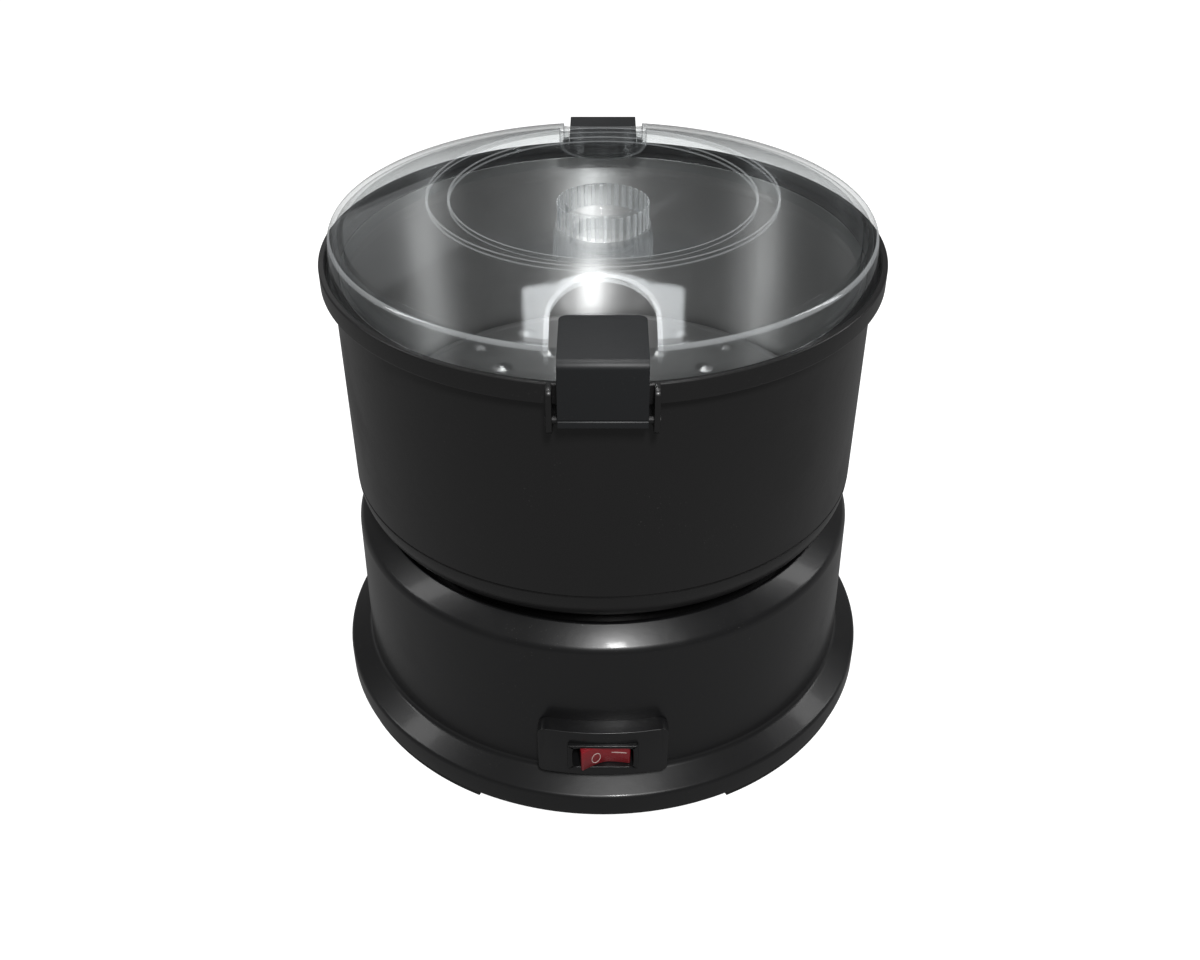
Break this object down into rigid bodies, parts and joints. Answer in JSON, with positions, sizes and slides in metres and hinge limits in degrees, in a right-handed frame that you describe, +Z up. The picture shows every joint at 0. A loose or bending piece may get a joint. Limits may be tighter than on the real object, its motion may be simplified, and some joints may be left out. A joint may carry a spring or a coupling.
{
  "type": "electric potato peeler",
  "caption": "Tabletop electric potato peeler: motor base with a rocker switch, lift-off bowl with a turning peeling disc, and a clear domed lid held by two latches.",
  "frame": {"origin": "centre of the underside of the feet, on the axis of the bowl", "axes": "+Z up along the bowl axis, -Y towards the rocker switch and the front latch, +X to the right seen from the front"},
  "size_m": [0.266, 0.266, 0.2494],
  "materials": {
    "base_plastic": "glossy black moulded plastic",
    "bowl_plastic": "dark charcoal moulded plastic with a satin gloss",
    "latch_plastic": "black moulded plastic with a fine grain",
    "plate_plastic": "black moulded plastic",
    "switch_plastic": "black switch housing",
    "rocker_red": "translucent red rocker",
    "lid_clear": "clear plastic",
    "liner_steel": "bright stainless sheet",
    "disc_steel": "stainless steel",
    "shaft_steel": "turned steel",
    "zinc_steel": "zinc plated screws",
    "motor_steel": "plated steel can",
    "plate_metal": "sheet aluminium",
    "armature_iron": "laminations and enamelled winding",
    "magnet_ferrite": "ferrite magnet",
    "bush_bronze": "sintered bronze",
    "terminal_brass": "brass blade",
    "gear_plastic": "natural gear plastic",
    "capacitor_plastic": "yellow capacitor case",
    "foot_rubber": "black rubber",
    "gland_rubber": "black rubber",
    "seal_rubber": "grey rubber"
  },
  "bodies": {
    "base": {"base_housing": "base_plastic", "base_plate": "plate_plastic", "foot_front_left": "foot_rubber", "foot_front_right": "foot_rubber", "foot_back_left": "foot_rubber", "foot_back_right": "foot_rubber", "plate_screws": "zinc_steel", "switch_frame": "switch_plastic", "switch_terminals": "terminal_brass", "gearbox_plate": "plate_metal", "gearbox_screws": "zinc_steel", "gear_axle": "shaft_steel", "motor_can": "motor_steel", "motor_end_cap": "plate_plastic", "motor_bearing_lower": "shaft_steel", "motor_bearing_upper": "shaft_steel", "motor_magnets": "magnet_ferrite", "motor_screws": "zinc_steel", "shaft_bush_lower": "bush_bronze", "shaft_bush_upper": "bush_bronze", "shaft_seal": "seal_rubber", "cord_gland": "gland_rubber", "terminal_block": "gear_plastic", "filter_capacitor": "capacitor_plastic"},
    "rocker": {"rocker": "rocker_red"},
    "rotor": {"motor_shaft": "shaft_steel", "armature": "armature_iron", "motor_pinion": "bush_bronze"},
    "wheel": {"compound_gear": "gear_plastic"},
    "output": {"output_gear": "gear_plastic", "output_shaft": "shaft_steel", "drive_dog": "gear_plastic"},
    "bowl": {"bowl": "bowl_plastic", "bowl_liner": "liner_steel", "bowl_bush": "bush_bronze", "bowl_seal": "seal_rubber", "front_latch_pin": "shaft_steel", "back_latch_pin": "shaft_steel"},
    "disc": {"peeling_disc": "disc_steel", "disc_spindle": "shaft_steel", "disc_nut": "disc_steel"},
    "lid": {"lid": "lid_clear"},
    "front_latch": {"front_latch": "latch_plastic"},
    "back_latch": {"back_latch": "latch_plastic"}
  },
  "joints": [
    {"name": "bowl_lift", "type": "slide", "parent": "base", "child": "bowl", "axis": [0, 0, 1], "range_m": [0, 0.06]},
    {"name": "disc_spin", "type": "hinge", "parent": "bowl", "child": "disc", "pos_m": [0, 0, 0.129], "axis": [0, 0, 1], "continuous": true},
    {"name": "output_spin", "type": "hinge", "parent": "base", "child": "output", "pos_m": [0, 0, 0.08], "axis": [0, 0, 1], "continuous": true},
    {"name": "wheel_spin", "type": "hinge", "parent": "base", "child": "wheel", "pos_m": [0, 0.0525, 0.075], "axis": [0, 0, 1], "continuous": true},
    {"name": "rotor_spin", "type": "hinge", "parent": "base", "child": "rotor", "pos_m": [0.03, 0.0525, 0.05], "axis": [0, 0, 1], "continuous": true},
    {"name": "lid_lift", "type": "slide", "parent": "bowl", "child": "lid", "axis": [0, 0, 1], "range_m": [0, 0.026]},
    {"name": "front_latch_hinge", "type": "hinge", "parent": "bowl", "child": "front_latch", "pos_m": [0, -0.1242, 0.2116], "axis": [1, 0, 0], "range_deg": [0, 110]},
    {"name": "back_latch_hinge", "type": "hinge", "parent": "bowl", "child": "back_latch", "pos_m": [0, 0.1242, 0.2116], "axis": [-1, 0, 0], "range_deg": [0, 110]},
    {"name": "rocker_tilt", "type": "hinge", "parent": "base", "child": "rocker", "pos_m": [0, -0.1236, 0.0381], "axis": [0, 0, -1], "range_deg": [0, 24]}
  ],
  "couplings": [
    {"joint": "output_spin", "follows": "disc_spin", "ratio": 1},
    {"joint": "wheel_spin", "follows": "disc_spin", "ratio": -5},
    {"joint": "rotor_spin", "follows": "disc_spin", "ratio": 16.429},
    {"joint": "front_latch_hinge", "follows": "lid_lift", "rad_per_m": 73.8},
    {"joint": "back_latch_hinge", "follows": "lid_lift", "rad_per_m": 73.8}
  ]
}
